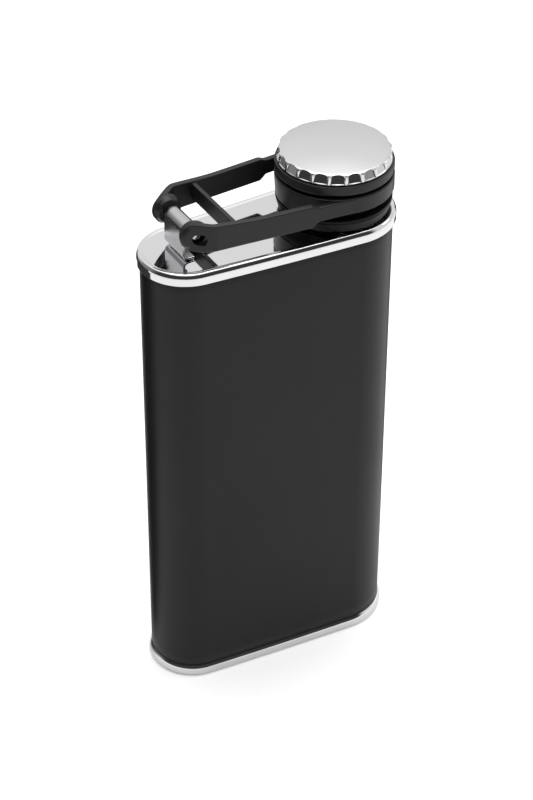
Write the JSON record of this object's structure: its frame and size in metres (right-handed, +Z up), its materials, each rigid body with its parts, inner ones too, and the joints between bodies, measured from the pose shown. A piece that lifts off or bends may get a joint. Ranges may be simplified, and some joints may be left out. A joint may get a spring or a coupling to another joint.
{
  "type": "hip flask",
  "caption": "Slim pocket flask with a black body, chrome end pans, and a fluted screw cap held captive in the ring of an arm that swings on a hinge.",
  "frame": {"origin": "centre of the footprint, on the surface that the flask stands on", "axes": "+X from the hinge end to the cap end, +Z up, front at -Y"},
  "size_m": [0.0756, 0.0324, 0.1599],
  "materials": {
    "body_coat": "matte black powder coat",
    "chrome_pan": "mirror chrome",
    "satin_chrome": "soft-polished chrome",
    "bare_steel": "turned stainless steel",
    "black_moulding": "satin black moulding",
    "seal_silicone": "translucent white silicone"
  },
  "bodies": {
    "flask": {"body_shell": "body_coat", "top_plate": "chrome_pan", "base_plate": "chrome_pan", "neck": "bare_steel", "hinge_bracket": "chrome_pan"},
    "arm": {"retention_arm": "black_moulding", "hinge_pin": "bare_steel"},
    "cap": {"cap_body": "black_moulding", "cap_seal": "seal_silicone", "cap_collar": "black_moulding", "cap_crown": "satin_chrome"}
  },
  "joints": [
    {"name": "arm_swing", "type": "hinge", "parent": "flask", "child": "arm", "pos_m": [-0.0258, 0, 0.1489], "axis": [0, -1, 0], "range_deg": [0, 180]},
    {"name": "cap_turn", "type": "hinge", "parent": "arm", "child": "cap", "pos_m": [0.02055, 0, 0.1402], "axis": [0, 0, 1], "range_deg": [0, 540]}
  ]
}
